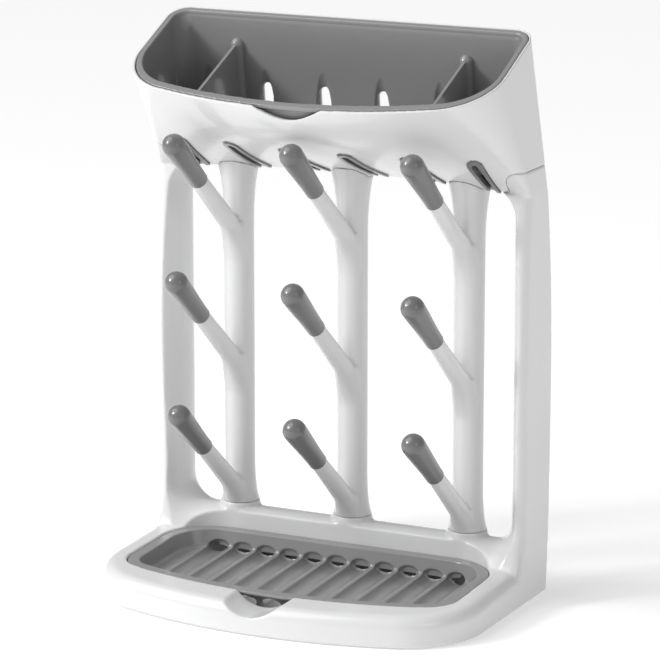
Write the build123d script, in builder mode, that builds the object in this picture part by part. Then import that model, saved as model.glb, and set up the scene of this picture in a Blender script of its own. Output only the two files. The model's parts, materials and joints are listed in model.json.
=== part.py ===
"""Bottle drying rack: a white frame with three peg trees, a lift-out bin on top and a lift-out drip tray.

Millimetres. +Z is up, the front of the rack faces -Y, and left means -X as seen from the front.
The origin is on the floor, at the centre of the rack's bounding box.
"""

import os
from math import cos, hypot, radians, sin

from build123d import *

os.makedirs("parts", exist_ok=True)

# Whole rack
HALF_WIDTH = 150.0
BASE_Z = 1.0  # underside of the frame; the rubber feet reach the floor
TREE_PITCH = 94.0
TREES = (("left", -TREE_PITCH), ("middle", 0.0), ("right", TREE_PITCH))

# Deck of the base: D-shaped plan and a top that falls gently to the front
DECK_REAR_Y = 94.0
DECK_SHOULDER_Y = -64.4
DECK_FRONT_Y = -98.5
DECK_FRONT_RADIUS = 63.0
DECK_REAR_RADIUS = 1.5
DECK_SLOPE = 0.04
DECK_Z = 28.8  # deck height at the rear edge of the tray
DECK_EDGE_RADIUS = 10.0
SCOOP_Z = 13.5  # lowest point of the thumb scoop
UNDERSIDE_WALL = 3.2
UNDERSIDE_DEPTH = 2.2

# Drip tray
TRAY_HALF_WIDTH = 132.0
TRAY_REAR_Y = 59.5
TRAY_SHOULDER_Y = -44.6
TRAY_FRONT_Y = -68.3
TRAY_REAR_RADIUS = 40.0
TRAY_FRONT_RADIUS = 24.6
TRAY_RIM_Z = 27.6  # rim height at the rear edge
TRAY_RIM_WIDTH = 4.5
TRAY_RIM_THICKNESS = 2.2
TRAY_CLEARANCE = 0.5
RECESS_FLOOR_Z = 5.2
TRAY_FLOOR_Z = 15.0  # floor height at the rear of the channels
TRAY_FLOOR_RADIUS = 3.0
CHANNEL_COUNT = 11
CHANNEL_PITCH = 19.6
CHANNEL_HALF_WIDTH = 8.0
CHANNEL_DEPTH = 4.8
CHANNEL_END_RADIUS = 2.0
CHANNEL_REAR_Y = 51.0
CHANNEL_MARGIN = 3.0  # between the rim's inner edge and the ends of the channels
CHANNEL_SLOPE = 0.02

# Trunks and their sockets
TRUNK_Y = 75.5
TRUNK_RADIUS = 11.4
TRUNK_BACK_Y = 84.0
SOCKET_Z = 46.0
SOCKET_RADIUS = 14.8
SOCKET_FOOT_Z = 33.0
SOCKET_FOOT_RADIUS = 24.0
CROWN_Z = 311.0
CROWN_RADIUS = 17.5
CROWN_STEP_Y = 59.0
CROWN_END_Z = 330.0
CROWN_END_RADIUS = 28.0
SPIGOT_RADIUS = 7.0
SPIGOT_LENGTH = 10.0

# Opening between the legs; its sides widen in front of and behind the waist
WAIST_Y = 73.0
OPENING_HALF_WIDTH = 134.2
RAIL_Z = 42.5
BAY_TOP_Z = 303.5
OPENING_TOP_Z = BAY_TOP_Z + 0.5
OPENING_RADIUS = 18.0
# How far the opening's edge has drawn back at distances from the waist, front (-) and rear (+)
OPENING_FLARES = ((-34, 19.0), (-27, 11.5), (-22, 6.6), (-13, 2.0), (0, 0.0), (9, 1.9), (17, 6.6), (27, 14.0))
OUTER_NOSE_RADIUS = 7.0

# Seam between the legs and the top housing
SEAM_Z = 322.0
SEAM_INNER_X = 132.5
SEAM_RADIUS = 14.0

# Top housing and bin; their rim lies in a plane that falls to the front
RIM_Z = 419.7
RIM_REAR_Y = 74.0
RIM_SLOPE = 0.465
RIM_HALF_WIDTH = 145.5
RIM_SHOULDER_Y = -15.0
RIM_FRONT_Y = -36.0
RIM_REAR_RADIUS = 16.0
RIM_FRONT_RADIUS = 48.0
WAIST_Z = 350.0  # rear height of the hull's middle section
WAIST_SLOPE = 0.243
WAIST_HALF_WIDTH = 148.3
WAIST_SHOULDER_Y = 28.0
WAIST_FRONT_Y = 7.0
WAIST_FRONT_RADIUS = 18.0
BOTTOM_REAR_Y = 87.5
BOTTOM_SHOULDER_Y = 52.0
BOTTOM_SHOULDER_SLOPE = 0.75  # how fast the hull's sides and front move forward with height
BOTTOM_FRONT_Y = 82.0
BOTTOM_FRONT_SLOPE = 2.5
BOTTOM_FRONT_RADIUS = 3.0
HULL_REAR_RADII = (8.0, 2.0)
LIP_DEPTH = 3.2
LIP_WIDTH = 4.4
SHELL_EDGE = 1.5  # thickness of the shell's edge around the lip
LIP_GAP = 0.6
NOTCH_Z = 360.5  # lowest point of the thumb notch
HOUSING_WALL = 2.6
CAVITY_Z = BAY_TOP_Z + 3.0
BIN_FLOOR_Z = 317.5
BIN_HALF_WIDTHS = (144.2, 142.8)  # narrower downwards, so that the bin lifts out
BIN_REAR_RADII = (14.0, 12.0)
BIN_CLEARANCE = 1.0
BIN_WALL = 2.2
DIVIDER_X = 92.0
DIVIDER_THICKNESS = 2.2
DIVIDER_TOP_Z = 397.5  # height of a divider's top edge at the rear wall
DIVIDER_SLOPE = 0.44
DIVIDER_GAP = 0.1
POST_RADIUS = 5.0
POST_TOP_Z = 400.0

# Slots in the rear walls, and soft liners in the hull below them
SLOT_X = [side * TREE_PITCH * step for side in (-1, 1) for step in (0.25, 0.75, 1.25)]
SLOT_WIDTH = 7.6
SLOT_TOP_Z = 366.5
SLOT_BOTTOM_Z = 338.0
SCALLOP_RADIUS = 6.2
SCALLOP_TOP_Z = 378.0
LINER_WIDTH = 11.6
LINER_GAP_WIDTH = 5.4
LINER_PROUD = 1.4
LINER_INSIDE = 2.8
# Front and rear end of each slot, by its distance from the middle
LINER_SPANS = {0.25 * TREE_PITCH: (8.0, 75.0), 0.75 * TREE_PITCH: (13.0, 72.0), 1.25 * TREE_PITCH: (24.0, 63.5)}

# Pegs: row name, y and z of the cap's open end; every cap points forward and up
PEG_ROWS = (("lower", 16.8, 100.2), ("middle", 14.4, 200.4), ("upper", 12.7, 301.8))
PEG_RISE = 40.3
CAP_LENGTH = 58.5
CAP_END_RADIUS = 6.9
CAP_BULB_RADIUS = 8.7
BRANCH_RADIUS = 6.2
BRANCH_ROOT_RADIUS = 7.8
BLEND_RADIUS = 60.0  # curve of a branch's underside into the trunk
# Web under a branch: degrees turned along that curve, and half width there
WEB_SECTIONS = ((0, 10.2), (17, 10.8), (32, 9.6), (43, BRANCH_ROOT_RADIUS))
WEB_START_DEPTH = 0.8  # how far inside the trunk's front the web begins
CORE_RADIUS = 4.4
CORE_LENGTH = 42.0

FOOT_RADIUS = 8.0
FOOT_HEIGHT = 2.6
FEET = (
    ("front_left", -105, -55),
    ("front_right", 105, -55),
    ("rear_left", -130, 78),
    ("rear_right", 130, 78),
)


def sloping_z(y, start_y, start_z, slope):
    """Height at y of a plane that passes through start_y, start_z."""
    return start_z + slope * (y - start_y)


def sloping_plane(start_y, start_z, slope):
    """Work plane along X that climbs towards the rear; its local y runs up the slope."""
    return Plane(origin=(0, start_y, start_z), x_dir=(1, 0, 0), z_dir=(0, -slope, 1))


def rear_y_at(z):
    """Rear face of the top housing, which leans forward on its way up."""
    return BOTTOM_REAR_Y + (RIM_REAR_Y - BOTTOM_REAR_Y) * (z - BAY_TOP_Z) / (RIM_Z - BAY_TOP_Z)


def front_plane(x):
    """Upright work plane through a trunk's axis; local x is across the rack, local y is height."""
    return Plane(origin=(x, TRUNK_Y, 0), x_dir=(1, 0, 0), z_dir=(0, -1, 0))


def trunk_axis(x):
    """Upright axis of the trunk at x."""
    return Axis((x, TRUNK_Y, 0), (0, 0, 1))


def rear_wall_plane():
    """Work plane on the outside of the housing's leaning rear wall; local y runs up the wall."""
    lean = (BOTTOM_REAR_Y - RIM_REAR_Y) / (RIM_Z - BAY_TOP_Z)
    return Plane(origin=(0, rear_y_at(WAIST_Z), WAIST_Z), x_dir=(-1, 0, 0), z_dir=(0, 1, lean))


def d_plan(half_width, rear_y, shoulder_y, front_y, rear_radius, front_radius):
    """Outline with a straight back, straight sides and a bowed front, corners rounded."""
    with BuildSketch() as plan:
        with BuildLine():
            Polyline(
                (-half_width, shoulder_y),
                (-half_width, rear_y),
                (half_width, rear_y),
                (half_width, shoulder_y),
            )
            ThreePointArc((half_width, shoulder_y), (0, front_y), (-half_width, shoulder_y))
        make_face()
        fillet(plan.vertices().filter_by(lambda v: abs(v.Y - shoulder_y) < 0.01), front_radius)
        fillet(plan.vertices().group_by(Axis.Y)[-1], rear_radius)
    return plan.sketch


def tray_plan(inset):
    """Outline of the tray rim, drawn in by a margin, or out by a negative one."""
    return d_plan(
        TRAY_HALF_WIDTH - inset,
        TRAY_REAR_Y - inset,
        TRAY_SHOULDER_Y + inset * 0.7,
        TRAY_FRONT_Y + inset,
        TRAY_REAR_RADIUS - inset,
        TRAY_FRONT_RADIUS - inset,
    )


def hull_section(inset, rear_y, slope, half_width, shoulder_y, front_y, rear_radius, front_radius):
    """Hull outline for a sloping plane that starts at rear_y, with y stretched up the slope."""
    stretch = hypot(1, slope)
    return d_plan(
        half_width - inset,
        -inset,
        (shoulder_y + inset * 1.2 - rear_y) * stretch,
        (front_y + inset * 1.5 - rear_y) * stretch,
        rear_radius,
        front_radius,
    )


def rim_outline(inset):
    """Outline of the bin's rim in its tilted plane."""
    return hull_section(
        inset,
        RIM_REAR_Y,
        RIM_SLOPE,
        RIM_HALF_WIDTH,
        RIM_SHOULDER_Y,
        RIM_FRONT_Y,
        RIM_REAR_RADIUS - inset,
        RIM_FRONT_RADIUS - inset,
    )


def hull(inset, bottom_z, half_widths=(WAIST_HALF_WIDTH, HALF_WIDTH), rear_radii=HULL_REAR_RADII):
    """Boat-shaped body from the tilted rim plane down to a level bottom.

    half_widths and rear_radii are those of the middle and bottom sections, before the inset.
    """
    waist_y = rear_y_at(WAIST_Z)
    bottom_y = rear_y_at(bottom_z)
    bottom_shoulder_y = BOTTOM_SHOULDER_Y - BOTTOM_SHOULDER_SLOPE * (bottom_z - BAY_TOP_Z)
    bottom_front_y = BOTTOM_FRONT_Y - BOTTOM_FRONT_SLOPE * (bottom_z - BAY_TOP_Z)
    with BuildPart() as body:
        with BuildSketch(sloping_plane(RIM_REAR_Y, RIM_Z, RIM_SLOPE)) as top:
            add(rim_outline(inset))
        with BuildSketch(sloping_plane(waist_y, WAIST_Z, WAIST_SLOPE)) as middle:
            add(
                hull_section(
                    inset,
                    waist_y,
                    WAIST_SLOPE,
                    half_widths[0],
                    WAIST_SHOULDER_Y,
                    WAIST_FRONT_Y,
                    rear_radii[0],
                    WAIST_FRONT_RADIUS,
                )
            )
        with BuildSketch(sloping_plane(bottom_y, bottom_z, 0)) as bottom:
            add(
                hull_section(
                    inset,
                    bottom_y,
                    0,
                    half_widths[1],
                    bottom_shoulder_y,
                    bottom_front_y,
                    rear_radii[1],
                    BOTTOM_FRONT_RADIUS,
                )
            )
        loft(sections=[top.sketch, middle.sketch, bottom.sketch])
    return body.part


# Hull, its shell, and the side blocks that divide the shell between legs and housing
hull_blank = hull(0, BAY_TOP_Z)
cavity = hull(HOUSING_WALL, CAVITY_Z)

with BuildPart() as leg_tops:
    for side in (-1, 1):
        with BuildSketch(Plane.XZ) as seam_profile:
            with BuildLine():
                Polyline(
                    (side * SEAM_INNER_X, BAY_TOP_Z - 5),
                    (side * (HALF_WIDTH + 5), BAY_TOP_Z - 5),
                    (side * (HALF_WIDTH + 5), SEAM_Z),
                    (side * SEAM_INNER_X, SEAM_Z),
                    close=True,
                )
            make_face()
            corner = seam_profile.vertices().group_by(Axis.Y)[-1].sort_by(lambda v: abs(v.X))[0]
            fillet(corner, SEAM_RADIUS)
        extrude(amount=120, both=True)

# Upright slab behind the deck: the rear rail and both legs around one large opening
with BuildPart() as uprights:
    with BuildSketch(Plane.YZ):
        with BuildLine():
            Spline(
                (30, 20),
                (39, 27),
                (44.5, 38),
                (48, 58),
                (48.4, 94),
                (46.6, 172),
                (48, 240),
                (52.5, BAY_TOP_Z),
            )
            Line((52.5, BAY_TOP_Z), (BOTTOM_REAR_Y, BAY_TOP_Z))
            Spline(
                (BOTTOM_REAR_Y, BAY_TOP_Z),
                (93, 265),
                (98, 200),
                (98.5, 120),
                (97.2, 54),
                (DECK_REAR_Y, BASE_Z),
            )
            Polyline((DECK_REAR_Y, BASE_Z), (30, BASE_Z), (30, 20))
        make_face()
    extrude(amount=HALF_WIDTH, both=True)
    noses = uprights.edges().filter_by(lambda e: e.bounding_box().size.Z > 150 and e.center().Y < 60)
    fillet(noses, OUTER_NOSE_RADIUS)
    # The opening flares from its waist towards the front and the rear, in a soft curve
    for distance, flare in OPENING_FLARES:
        with BuildSketch(Plane.XZ.offset(-WAIST_Y - distance)):
            with Locations((0, (RAIL_Z + OPENING_TOP_Z) / 2)):
                RectangleRounded(
                    2 * (OPENING_HALF_WIDTH + flare),
                    OPENING_TOP_Z - RAIL_Z + 2 * flare,
                    OPENING_RADIUS + flare,
                )
    loft(mode=Mode.SUBTRACT)


def socket_blank(x):
    """Round boss that carries a tree, flaring into the rail."""
    with BuildPart() as socket:
        with BuildSketch(front_plane(x)):
            with BuildLine():
                Polyline((0, RECESS_FLOOR_Z), (0, SOCKET_Z), (SOCKET_RADIUS, SOCKET_Z))
                ThreePointArc((SOCKET_RADIUS, SOCKET_Z), (17.6, 38), (SOCKET_FOOT_RADIUS, SOCKET_FOOT_Z))
                Line((SOCKET_FOOT_RADIUS, SOCKET_FOOT_Z), (SOCKET_FOOT_RADIUS, RECESS_FLOOR_Z))
                Line((SOCKET_FOOT_RADIUS, RECESS_FLOOR_Z), (0, RECESS_FLOOR_Z))
            make_face()
        revolve(axis=trunk_axis(x))
        split(bisect_by=Plane.XZ.offset(-DECK_REAR_Y), keep=Keep.TOP)
    return socket.part


# Base deck, rear rail and both legs: one white moulding
with BuildPart() as base_frame:
    with BuildSketch(Plane.XY.offset(BASE_Z)):
        add(
            d_plan(
                HALF_WIDTH,
                DECK_REAR_Y,
                DECK_SHOULDER_Y,
                DECK_FRONT_Y,
                DECK_REAR_RADIUS,
                DECK_FRONT_RADIUS,
            )
        )
    extrude(amount=40)
    split(bisect_by=sloping_plane(TRAY_REAR_Y, DECK_Z, DECK_SLOPE), keep=Keep.BOTTOM)
    deck_top = base_frame.faces().sort_by(Axis.Z)[-1]
    front_edges = deck_top.edges().filter_by(lambda e: e.center().Y < 50)
    fillet(front_edges, DECK_EDGE_RADIUS)
    add(uprights.part)
    for name, tree_x in TREES:
        add(socket_blank(tree_x))
    add((hull_blank & leg_tops.part) - cavity)
    # Recess for the tray
    with BuildSketch(Plane.XY.offset(RECESS_FLOOR_Z)):
        add(tray_plan(-TRAY_CLEARANCE))
    extrude(amount=100, mode=Mode.SUBTRACT)
    # Thumb scoop in the front wall
    with BuildSketch(Plane.XZ.offset(-DECK_SHOULDER_Y)):
        with BuildLine():
            Spline((-34, 40), (-24, 24.5), (0, SCOOP_Z), (24, 24.5), (34, 40))
            Line((34, 40), (-34, 40))
        make_face()
    extrude(amount=60, mode=Mode.SUBTRACT)
    # Shallow hollow under the deck, with pads left for the feet
    with BuildSketch(Plane.XY.offset(BASE_Z)):
        add(
            d_plan(
                HALF_WIDTH - UNDERSIDE_WALL,
                DECK_REAR_Y - UNDERSIDE_WALL,
                DECK_SHOULDER_Y + UNDERSIDE_WALL,
                DECK_FRONT_Y + UNDERSIDE_WALL,
                DECK_REAR_RADIUS,
                DECK_FRONT_RADIUS - UNDERSIDE_WALL,
            )
        )
        with Locations(*[(x, y) for name, x, y in FEET]):
            Circle(FOOT_RADIUS + 3, mode=Mode.SUBTRACT)
    extrude(amount=UNDERSIDE_DEPTH, mode=Mode.SUBTRACT)
    # Blind holes for the spigots of the trees and seats for the feet
    with Locations(*[(x, TRUNK_Y, SOCKET_Z) for name, x in TREES]):
        Cylinder(
            SPIGOT_RADIUS,
            SPIGOT_LENGTH,
            align=(Align.CENTER, Align.CENTER, Align.MAX),
            mode=Mode.SUBTRACT,
        )
    with Locations(*[(x, y, FOOT_HEIGHT) for name, x, y in FEET]):
        Cylinder(
            FOOT_RADIUS,
            FOOT_HEIGHT,
            align=(Align.CENTER, Align.CENTER, Align.MAX),
            mode=Mode.SUBTRACT,
        )

base_frame.part.label = "base_frame"
export_step(base_frame.part, "parts/base_frame.step")

# Rubber feet
for name, foot_x, foot_y in FEET:
    with BuildPart() as foot:
        with Locations((foot_x, foot_y, 0)):
            Cylinder(FOOT_RADIUS, FOOT_HEIGHT, align=(Align.CENTER, Align.CENTER, Align.MIN))
        fillet(foot.edges().group_by(Axis.Z)[0], 0.6)
    foot.part.label = "foot_" + name
    export_step(foot.part, "parts/foot_" + name + ".step")

# Region above the joint between trees and housing: level in front, falling to the rear
with BuildPart() as above_crowns:
    with BuildSketch(Plane.YZ):
        Polygon(
            (30, CROWN_Z),
            (CROWN_STEP_Y, CROWN_Z),
            (WAIST_Y, BAY_TOP_Z),
            (120, BAY_TOP_Z),
            (120, 360),
            (30, 360),
            align=None,
        )
    extrude(amount=HALF_WIDTH, both=True)


def trunk_blank(x):
    """Round trunk with a flat back, flaring into its socket and into its crown."""
    with BuildPart() as trunk:
        with BuildSketch(front_plane(x)):
            with BuildLine():
                Polyline((0, CROWN_END_Z), (0, SOCKET_Z), (SOCKET_RADIUS, SOCKET_Z))
                Spline(
                    (SOCKET_RADIUS, SOCKET_Z),
                    (12.4, 57),
                    (TRUNK_RADIUS, 80),
                    tangents=((-0.45, 1), (0, 1)),
                )
                Line((TRUNK_RADIUS, 80), (TRUNK_RADIUS, 262))
                Spline(
                    (TRUNK_RADIUS, 262),
                    (12.8, 288),
                    (CROWN_RADIUS, CROWN_Z),
                    (CROWN_END_RADIUS, CROWN_END_Z),
                    tangents=((0, 1), (1, 1)),
                )
                Line((CROWN_END_RADIUS, CROWN_END_Z), (0, CROWN_END_Z))
            make_face()
        revolve(axis=trunk_axis(x))
        split(bisect_by=Plane.XZ.offset(-TRUNK_BACK_Y), keep=Keep.TOP)
    return trunk.part


# Region between two copies of the hull, one lowered and one raised: a band along its skin
hull_band = Pos(0, 0, -LINER_PROUD) * hull_blank - Pos(0, 0, LINER_INSIDE) * hull_blank


def liner_prism(x, width):
    """Upright prism over a slot outline: round in front, running back to the hull's lower edge."""
    front_y, rear_y = LINER_SPANS[abs(x)]
    centre_y = front_y + LINER_WIDTH / 2
    with BuildPart() as prism:
        with BuildSketch(Plane.XY.offset(BAY_TOP_Z - 20)):
            with Locations((x, centre_y)):
                Circle(width / 2)
                Rectangle(width, rear_y - centre_y, align=(Align.CENTER, Align.MIN))
        extrude(amount=60)
    return prism.part


# Top housing: an open shell with a boat-shaped underside
with BuildPart() as top_housing:
    add(hull_blank - leg_tops.part)
    for name, tree_x in TREES:
        add(trunk_blank(tree_x) & above_crowns.part)
    add(cavity, mode=Mode.SUBTRACT)
    # Rebate that the bin's lip sits in
    with BuildSketch(sloping_plane(RIM_REAR_Y, RIM_Z, RIM_SLOPE)):
        add(rim_outline(SHELL_EDGE))
    extrude(amount=-LIP_DEPTH - LIP_GAP, mode=Mode.SUBTRACT)
    # Thumb notch in the front edge
    with BuildSketch(Plane.XZ):
        with BuildLine():
            Spline((-38, 376), (-22, 367), (0, NOTCH_Z), (22, 367), (38, 376))
            Line((38, 376), (-38, 376))
        make_face()
    extrude(amount=60, mode=Mode.SUBTRACT)
    # Slots in the rear wall
    with BuildSketch(rear_wall_plane()):
        with Locations(*[(x, (SLOT_TOP_Z + SLOT_BOTTOM_Z) / 2 - WAIST_Z) for x in SLOT_X]):
            SlotOverall(SLOT_TOP_Z - SLOT_BOTTOM_Z, SLOT_WIDTH, rotation=90)
    extrude(amount=15, both=True, mode=Mode.SUBTRACT)
    # Slots for the liners
    for slot_x in SLOT_X:
        add(liner_prism(slot_x, LINER_WIDTH) & hull_band, mode=Mode.SUBTRACT)
        add(liner_prism(slot_x, LINER_GAP_WIDTH), mode=Mode.SUBTRACT)

top_housing.part.label = "top_housing"
export_step(top_housing.part, "parts/top_housing.step")

# Soft U-shaped liners around the slots of the hull
SLOT_NAMES = ("outer_left", "middle_left", "inner_left", "inner_right", "middle_right", "outer_right")
for name, slot_x in zip(SLOT_NAMES, sorted(SLOT_X)):
    with BuildPart() as liner:
        add(liner_prism(slot_x, LINER_WIDTH) & hull_band)
        add(liner_prism(slot_x, LINER_GAP_WIDTH), mode=Mode.SUBTRACT)
    liner.part.label = "slot_liner_" + name
    export_step(liner.part, "parts/slot_liner_" + name + ".step")

# Top bin: lifts out of the housing and hangs there by its lip
BIN_INSET = HOUSING_WALL + BIN_CLEARANCE
bin_room = hull(BIN_INSET + BIN_WALL, BIN_FLOOR_Z + BIN_WALL, BIN_HALF_WIDTHS, BIN_REAR_RADII)


def divider_blank(x):
    """Upright plate with a sloping top edge, and the domed post along its rear edge."""
    top_rear = Vector(x, RIM_REAR_Y, DIVIDER_TOP_Z)
    with BuildPart() as blank:
        with BuildSketch(Plane.YZ.offset(x)):
            Polygon(
                (100, sloping_z(100, top_rear.Y, top_rear.Z, DIVIDER_SLOPE)),
                (-60, sloping_z(-60, top_rear.Y, top_rear.Z, DIVIDER_SLOPE)),
                (-60, BIN_FLOOR_Z),
                (100, BIN_FLOOR_Z),
                align=None,
            )
        extrude(amount=DIVIDER_THICKNESS / 2, both=True)
        wall = rear_wall_plane().offset(-BIN_INSET - BIN_WALL)
        post_length = POST_TOP_Z - POST_RADIUS - BIN_FLOOR_Z
        with BuildSketch(Plane(origin=wall.from_local_coords((-x, BIN_FLOOR_Z - WAIST_Z, 0)), z_dir=wall.y_dir)):
            Circle(POST_RADIUS)
        extrude(amount=post_length)
        with Locations(wall.from_local_coords((-x, POST_TOP_Z - POST_RADIUS - WAIST_Z, 0))):
            Sphere(POST_RADIUS)
    return blank.part


with BuildPart() as top_bin:
    add(hull(BIN_INSET, BIN_FLOOR_Z, BIN_HALF_WIDTHS, BIN_REAR_RADII))
    with BuildSketch(sloping_plane(RIM_REAR_Y, RIM_Z, RIM_SLOPE)):
        add(rim_outline(SHELL_EDGE + LIP_GAP))
    extrude(amount=-LIP_DEPTH)
    add(bin_room, mode=Mode.SUBTRACT)
    with BuildSketch(sloping_plane(RIM_REAR_Y, RIM_Z, RIM_SLOPE)):
        add(rim_outline(SHELL_EDGE + LIP_GAP + LIP_WIDTH))
    extrude(amount=-LIP_DEPTH, mode=Mode.SUBTRACT)
    # Slots in the rear wall
    with BuildSketch(rear_wall_plane()):
        with Locations(*[(x, (SLOT_TOP_Z + SLOT_BOTTOM_Z) / 2 - WAIST_Z) for x in SLOT_X]):
            SlotOverall(SLOT_TOP_Z - SLOT_BOTTOM_Z, SLOT_WIDTH, rotation=90)
    extrude(amount=15, both=True, mode=Mode.SUBTRACT)
    # Scallops above the slots: slanting round cuts that fade out up the wall
    for slot_x in SLOT_X:
        wall = rear_wall_plane().offset(-BIN_INSET - BIN_WALL)
        depth_at_slot = BIN_WALL / (SCALLOP_TOP_Z - SLOT_TOP_Z)
        fade = wall.from_local_coords((-slot_x, SCALLOP_TOP_Z - WAIST_Z, -SCALLOP_RADIUS))
        downhill = wall.z_dir * depth_at_slot - wall.y_dir
        with BuildSketch(Plane(origin=fade - downhill * 20, z_dir=downhill)):
            Circle(SCALLOP_RADIUS)
        extrude(amount=50, mode=Mode.SUBTRACT)

top_bin.part.label = "top_bin"
export_step(top_bin.part, "parts/top_bin.step")

# Dividers that split the bin in three
divider_room = hull(
    BIN_INSET + BIN_WALL + DIVIDER_GAP,
    BIN_FLOOR_Z + BIN_WALL + DIVIDER_GAP,
    BIN_HALF_WIDTHS,
    BIN_REAR_RADII,
)
for name, side in (("left", -1), ("right", 1)):
    with BuildPart() as divider:
        add(divider_blank(side * DIVIDER_X) & divider_room)
    divider.part.label = "bin_divider_" + name
    export_step(divider.part, "parts/bin_divider_" + name + ".step")

# Room inside the drip tray: its walls widen evenly from below the floor to above the rim
TRAY_LEVELS = ((RECESS_FLOOR_Z + 0.3, 5.0), (40.0, -2.0))  # height, and margin inside the rim's inner edge
BASIN_LEVELS = ((8.0, 9.0), (42.0, -1.0))
with BuildPart() as basin:
    for level, margin in BASIN_LEVELS:
        with BuildSketch(Plane.XY.offset(level)):
            add(tray_plan(TRAY_RIM_WIDTH + margin))
    loft()
    split(bisect_by=sloping_plane(CHANNEL_REAR_Y, TRAY_FLOOR_Z, DECK_SLOPE), keep=Keep.TOP)
    fillet(basin.faces().sort_by(Axis.Z)[0].edges(), TRAY_FLOOR_RADIUS)

# Oval channels in the tray's floor, which run to the front, and the field they stay in
with BuildPart() as channels:
    channel_end = Plane(
        origin=(0, CHANNEL_REAR_Y, TRAY_FLOOR_Z),
        x_dir=(1, 0, 0),
        z_dir=(0, -1, -CHANNEL_SLOPE),
    )
    with BuildSketch(channel_end):
        with GridLocations(CHANNEL_PITCH, 1, CHANNEL_COUNT, 1):
            Ellipse(CHANNEL_HALF_WIDTH, CHANNEL_DEPTH)
    extrude(amount=130)
    fillet(channels.edges().group_by(Axis.Y)[-1], CHANNEL_END_RADIUS)
with BuildPart() as channel_field:
    with BuildSketch(Plane.XY):
        add(tray_plan(TRAY_RIM_WIDTH + CHANNEL_MARGIN))
    extrude(amount=40)

# Drip tray: lifts out of the recess in the deck
tray_rim_plane = sloping_plane(TRAY_REAR_Y, TRAY_RIM_Z, DECK_SLOPE)
with BuildPart() as drip_tray:
    for level, margin in TRAY_LEVELS:
        with BuildSketch(Plane.XY.offset(level)):
            add(tray_plan(TRAY_RIM_WIDTH + margin))
    loft()
    split(bisect_by=tray_rim_plane, keep=Keep.BOTTOM)
    with BuildSketch(tray_rim_plane):
        with Locations((0, -TRAY_REAR_Y)):
            add(tray_plan(0))
    extrude(amount=-TRAY_RIM_THICKNESS)
    # Basin above a sloping floor
    add(basin.part, mode=Mode.SUBTRACT)
    add(channels.part & channel_field.part, mode=Mode.SUBTRACT)

drip_tray.part.label = "drip_tray"
export_step(drip_tray.part, "parts/drip_tray.step")


def cap_plane(x, y, z):
    """Work plane through a peg's axis; the origin is the cap's open end, local y runs to its tip."""
    rise = radians(PEG_RISE)
    return Plane(origin=(x, y, z), x_dir=(1, 0, 0), z_dir=(0, -sin(rise), -cos(rise)))


def branch_blank(x, y, z):
    """Straight branch from the trunk to its cap, with a core for the cap and a curved web below."""
    rise = radians(PEG_RISE)
    inwards = Vector(0, cos(rise), -sin(rise))
    length = (TRUNK_Y - y) / cos(rise)
    blend_z = z - length * sin(rise) - BLEND_RADIUS * 0.45
    front_y = TRUNK_Y - TRUNK_RADIUS + WEB_START_DEPTH
    with BuildPart() as branch:
        with BuildSketch(Plane(origin=(x, y, z), x_dir=(1, 0, 0), z_dir=inwards)):
            Circle(BRANCH_RADIUS)
        with BuildSketch(Plane(origin=Vector(x, y, z) + inwards * length, x_dir=(1, 0, 0), z_dir=inwards)):
            Circle(BRANCH_ROOT_RADIUS)
        loft()
        with BuildSketch(cap_plane(x, y, z)):
            with BuildLine():
                Polyline((0, -2), (CORE_RADIUS, -2), (CORE_RADIUS, CORE_LENGTH - 2))
                Line((CORE_RADIUS, CORE_LENGTH - 2), (CORE_RADIUS - 2, CORE_LENGTH))
                Polyline((CORE_RADIUS - 2, CORE_LENGTH), (0, CORE_LENGTH), (0, -2))
            make_face()
        revolve(axis=Axis((x, y, z), cap_plane(x, y, z).y_dir))
    with BuildPart() as web:
        for turn, half_width in WEB_SECTIONS:
            underside_y = front_y - BLEND_RADIUS * (1 - cos(radians(turn)))
            level = blend_z + BLEND_RADIUS * sin(radians(turn))
            half_depth = (TRUNK_BACK_Y - underside_y) / 2
            with BuildSketch(Plane.XY.offset(level)):
                with Locations((x, underside_y + half_depth)):
                    Ellipse(half_width, half_depth)
        loft()
    return branch.part + web.part


# Peg trees: trunk, three branches with cores for the caps, and a spigot for the socket
for name, tree_x in TREES:
    with BuildPart() as tree:
        crowned = trunk_blank(tree_x) - above_crowns.part - hull_blank
        add(crowned.solids().sort_by(SortBy.VOLUME)[-1])
        for row, cap_y, cap_z in PEG_ROWS:
            add(branch_blank(tree_x, cap_y, cap_z))
        split(bisect_by=Plane.XZ.offset(-TRUNK_BACK_Y), keep=Keep.TOP)
        split(bisect_by=Plane.XY.offset(SOCKET_Z), keep=Keep.TOP)
        with Locations((tree_x, TRUNK_Y, SOCKET_Z)):
            Cylinder(
                SPIGOT_RADIUS - 0.1,
                SPIGOT_LENGTH - 0.5,
                align=(Align.CENTER, Align.CENTER, Align.MAX),
            )
    tree.part.label = "peg_tree_" + name
    export_step(tree.part, "parts/peg_tree_" + name + ".step")

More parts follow.
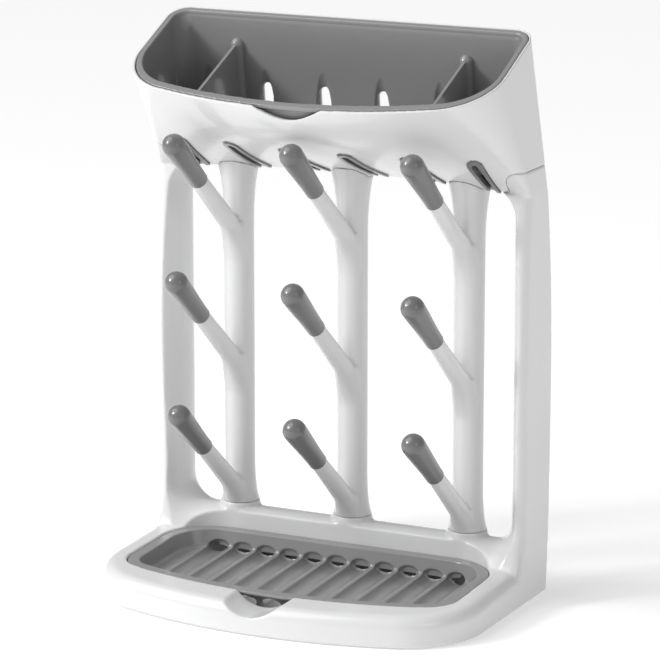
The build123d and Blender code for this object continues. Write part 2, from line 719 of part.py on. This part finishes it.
# Soft caps on the ends of the branches
for name, tree_x in TREES:
    for row, cap_y, cap_z in PEG_ROWS:
        with BuildPart() as cap:
            with BuildSketch(cap_plane(tree_x, cap_y, cap_z)):
                with BuildLine():
                    Polyline((0, CORE_LENGTH + 0.5), (CORE_RADIUS + 0.05, CORE_LENGTH + 0.5))
                    Polyline(
                        (CORE_RADIUS + 0.05, CORE_LENGTH + 0.5),
                        (CORE_RADIUS + 0.05, 0),
                        (CAP_END_RADIUS - 0.7, 0),
                        (CAP_END_RADIUS, 0.9),
                    )
                    Spline(
                        (CAP_END_RADIUS, 0.9),
                        (7.3, 17),
                        (8.3, 37),
                        (CAP_BULB_RADIUS, CAP_LENGTH - CAP_BULB_RADIUS),
                        tangents=((0, 1), (0, 1)),
                    )
                    RadiusArc(
                        (CAP_BULB_RADIUS, CAP_LENGTH - CAP_BULB_RADIUS),
                        (0, CAP_LENGTH),
                        -CAP_BULB_RADIUS,
                    )
                    Line((0, CAP_LENGTH), (0, CORE_LENGTH + 0.5))
                make_face()
            revolve(axis=Axis((tree_x, cap_y, cap_z), cap_plane(tree_x, cap_y, cap_z).y_dir))
        cap.part.label = "cap_" + name + "_" + row
        export_step(cap.part, "parts/cap_" + name + "_" + row + ".step")
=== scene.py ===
"""Looks for the bottle drying rack: materials, floor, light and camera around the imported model."""

import json
import math

import bpy
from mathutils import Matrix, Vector

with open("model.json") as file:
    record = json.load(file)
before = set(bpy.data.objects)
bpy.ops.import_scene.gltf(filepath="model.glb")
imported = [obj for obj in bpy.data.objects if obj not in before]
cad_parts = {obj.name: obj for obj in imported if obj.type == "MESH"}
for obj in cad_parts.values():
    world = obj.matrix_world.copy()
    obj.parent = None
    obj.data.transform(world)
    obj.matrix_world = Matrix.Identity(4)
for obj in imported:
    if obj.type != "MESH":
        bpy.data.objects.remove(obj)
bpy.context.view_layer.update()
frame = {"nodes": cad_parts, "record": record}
nodes = frame["nodes"]
scene = bpy.context.scene

# Plastic: tone clouds, uneven gloss and surface texture
PLASTIC_IOR = 1.48
COAT_ROUGHNESS = 0.06
CLOUD_SCALE = 14.0
CLOUD_DETAIL = 3.0
CLOUD_ENDS = (0.3, 0.7)
SMEAR_SCALE = 60.0
SMEAR_DETAIL = 2.0
GLOSS_SPREAD = (0.85, 1.15)  # lowest and highest roughness, as shares of the mean
TEXTURE_DETAIL = 2.0
TEXTURE_DEPTH = 0.0003
SHARP_ANGLE = math.radians(32)
SMOOTH_FACTOR = 0.5

# Floor and light
FLOOR_SIZE = 40.0
FLOOR_TONE = 0.9
FLOOR_ROUGHNESS = 0.5
FLOOR_GLOW = 0.3
WORLD_STRENGTH = 0.38
SUN_STRENGTH = 1.45
SUN_ANGLE = math.radians(50)
SUN_DIRECTION = Vector((0.85, 0.55, -1.2))
LIGHT_AIM = (0, 0, 0.2)

# Camera at the viewing angle of the reference view
CAMERA_PLACE = Vector((1.1302, -2.2925, 0.8019))
AZIMUTH = math.radians(25.879)
ELEVATION = math.radians(13.199)
LENS = 198.81
SENSOR_WIDTH = 36.0


def plastic(name, colour, roughness, grain, grain_size, coat=0.0, tint=0.03):
    """Plastic with faint tone variation, uneven gloss and a fine surface texture."""
    material = bpy.data.materials.new(name)
    material.use_nodes = True
    tree = material.node_tree
    shader = tree.nodes["Principled BSDF"]
    shader.inputs["IOR"].default_value = PLASTIC_IOR
    shader.inputs["Coat Weight"].default_value = coat
    shader.inputs["Coat Roughness"].default_value = COAT_ROUGHNESS
    place = tree.nodes.new("ShaderNodeTexCoord")

    cloud = tree.nodes.new("ShaderNodeTexNoise")
    cloud.inputs["Scale"].default_value = CLOUD_SCALE
    cloud.inputs["Detail"].default_value = CLOUD_DETAIL
    tree.links.new(place.outputs["Object"], cloud.inputs["Vector"])
    tone = tree.nodes.new("ShaderNodeValToRGB")
    for element, position, share in zip(tone.color_ramp.elements, CLOUD_ENDS, (1 - tint, 1 + tint)):
        element.position = position
        element.color = [min(1, c * share) for c in colour] + [1]
    tree.links.new(cloud.outputs["Fac"], tone.inputs["Fac"])
    tree.links.new(tone.outputs["Color"], shader.inputs["Base Color"])

    smear = tree.nodes.new("ShaderNodeTexNoise")
    smear.inputs["Scale"].default_value = SMEAR_SCALE
    smear.inputs["Detail"].default_value = SMEAR_DETAIL
    tree.links.new(place.outputs["Object"], smear.inputs["Vector"])
    gloss = tree.nodes.new("ShaderNodeMapRange")
    gloss.inputs["To Min"].default_value = roughness * GLOSS_SPREAD[0]
    gloss.inputs["To Max"].default_value = roughness * GLOSS_SPREAD[1]
    tree.links.new(smear.outputs["Fac"], gloss.inputs["Value"])
    tree.links.new(gloss.outputs["Result"], shader.inputs["Roughness"])

    texture = tree.nodes.new("ShaderNodeTexNoise")
    texture.inputs["Scale"].default_value = grain_size
    texture.inputs["Detail"].default_value = TEXTURE_DETAIL
    tree.links.new(place.outputs["Object"], texture.inputs["Vector"])
    bump = tree.nodes.new("ShaderNodeBump")
    bump.inputs["Strength"].default_value = grain
    bump.inputs["Distance"].default_value = TEXTURE_DEPTH
    tree.links.new(texture.outputs["Fac"], bump.inputs["Height"])
    tree.links.new(bump.outputs["Normal"], shader.inputs["Normal"])
    return material


MATERIALS = {
    "white_gloss": plastic("white_gloss", (0.72, 0.72, 0.725), 0.22, 0.03, 900.0, coat=0.3, tint=0.01),
    "grey_plastic": plastic("grey_plastic", (0.25, 0.25, 0.254), 0.24, 0.05, 1200.0, coat=0.35),
    "grey_soft": plastic("grey_soft", (0.15, 0.15, 0.152), 0.3, 0.12, 1600.0, coat=0.5),
    "foot_rubber": plastic("foot_rubber", (0.16, 0.16, 0.165), 0.6, 0.4, 1500.0),
}

# Softly moulded edges: nodes with their voxel size and smoothing passes
MOULDED = {
    "base_frame": (0.0009, 10),
    "top_housing": (0.0006, 3),
    "peg_tree_left": (0.0008, 12),
    "peg_tree_middle": (0.0008, 12),
    "peg_tree_right": (0.0008, 12),
    "top_bin": (0.0006, 3),
    "drip_tray": (0.0006, 6),
}
for part in frame["record"]["subparts"]:
    piece = nodes[part["node"]]
    piece.data.materials.clear()
    piece.data.materials.append(MATERIALS[part["material_slot"]])
    piece.data.shade_smooth()
    if part["node"] in MOULDED:
        voxel, passes = MOULDED[part["node"]]
        skin = piece.modifiers.new("moulded_skin", "REMESH")
        skin.mode = "VOXEL"
        skin.voxel_size = voxel
        skin.use_smooth_shade = True
        soften = piece.modifiers.new("soft_edges", "SMOOTH")
        soften.factor = SMOOTH_FACTOR
        soften.iterations = passes
    else:
        edges = piece.modifiers.new("sharp_edges", "EDGE_SPLIT")
        edges.split_angle = SHARP_ANGLE

# Floor
bpy.ops.mesh.primitive_plane_add(size=FLOOR_SIZE, location=(0, 0, 0))
floor = bpy.context.object
floor.name = "floor"
floor_material = bpy.data.materials.new("floor_paper")
floor_material.use_nodes = True
floor_shader = floor_material.node_tree.nodes["Principled BSDF"]
floor_shader.inputs["Base Color"].default_value = (FLOOR_TONE, FLOOR_TONE, FLOOR_TONE, 1)
floor_shader.inputs["Roughness"].default_value = FLOOR_ROUGHNESS
floor_shader.inputs["Emission Color"].default_value = (1, 1, 1, 1)
floor_shader.inputs["Emission Strength"].default_value = FLOOR_GLOW
floor.data.materials.append(floor_material)

# Soft studio light
world = bpy.data.worlds.new("studio")
scene.world = world
world.use_nodes = True
world.node_tree.nodes["Background"].inputs["Color"].default_value = (1, 1, 1, 1)
world.node_tree.nodes["Background"].inputs["Strength"].default_value = WORLD_STRENGTH


def softbox(name, place, aim, size, power):
    """Square area light that faces a point."""
    light = bpy.data.lights.new(name, "AREA")
    light.size = size
    light.energy = power
    lamp = bpy.data.objects.new(name, light)
    scene.collection.objects.link(lamp)
    lamp.location = place
    lamp.rotation_mode = "QUATERNION"
    lamp.rotation_quaternion = (Vector(aim) - Vector(place)).to_track_quat("-Z", "Y")
    return lamp


sun_light = bpy.data.lights.new("sky", "SUN")
sun_light.energy = SUN_STRENGTH
sun_light.angle = SUN_ANGLE
sun = bpy.data.objects.new("sky", sun_light)
scene.collection.objects.link(sun)
sun.rotation_mode = "QUATERNION"
sun.rotation_quaternion = SUN_DIRECTION.to_track_quat("-Z", "Y")
softbox("key", (-1.5, -1.3, 1.3), LIGHT_AIM, 0.5, 24)
softbox("fill", (1.6, -0.9, 0.9), LIGHT_AIM, 0.8, 3)

# Camera
camera_data = bpy.data.cameras.new("camera")
camera_data.lens = LENS
camera_data.sensor_width = SENSOR_WIDTH
camera = bpy.data.objects.new("camera", camera_data)
scene.collection.objects.link(camera)
camera.location = CAMERA_PLACE
look = Vector(
    (
        -math.sin(AZIMUTH) * math.cos(ELEVATION),
        math.cos(AZIMUTH) * math.cos(ELEVATION),
        -math.sin(ELEVATION),
    )
)
camera.rotation_mode = "QUATERNION"
camera.rotation_quaternion = look.to_track_quat("-Z", "Y")
scene.camera = camera
scene.view_settings.view_transform = "Standard"
